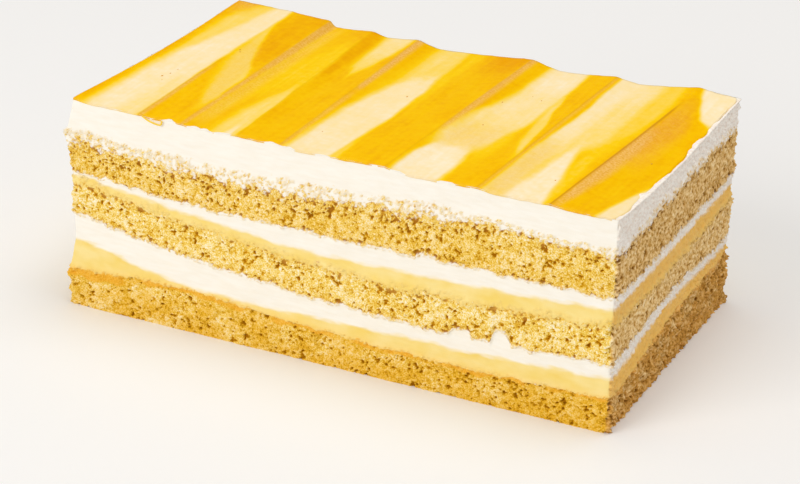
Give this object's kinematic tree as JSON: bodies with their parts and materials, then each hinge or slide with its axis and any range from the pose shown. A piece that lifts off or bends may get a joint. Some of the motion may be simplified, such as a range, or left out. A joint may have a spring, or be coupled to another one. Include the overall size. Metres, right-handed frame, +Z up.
{
  "type": "pumpkin cake",
  "caption": "Rectangular layer cake of pale sponge, pumpkin custard and whipped cream, with a thick cream top combed into scallops under a thin yellow glaze.",
  "frame": {"origin": "centre of the flat bottom", "axes": "+X along the length, to the right as seen from the long front face; -Y out of the front face; +Z up"},
  "size_m": [0.1837, 0.1028, 0.0703],
  "materials": {
    "sponge": "open matt crumb",
    "custard": "smooth satin",
    "cream": "soft satin",
    "glaze": "wet gloss"
  },
  "bodies": {
    "root": {"sponge_bottom": "sponge", "custard_lower": "custard", "cream_lower": "cream", "sponge_middle": "sponge", "custard_upper": "custard", "cream_upper": "cream", "sponge_top": "sponge", "cream_topping": "cream", "glaze": "glaze"}
  },
  "joints": []
}
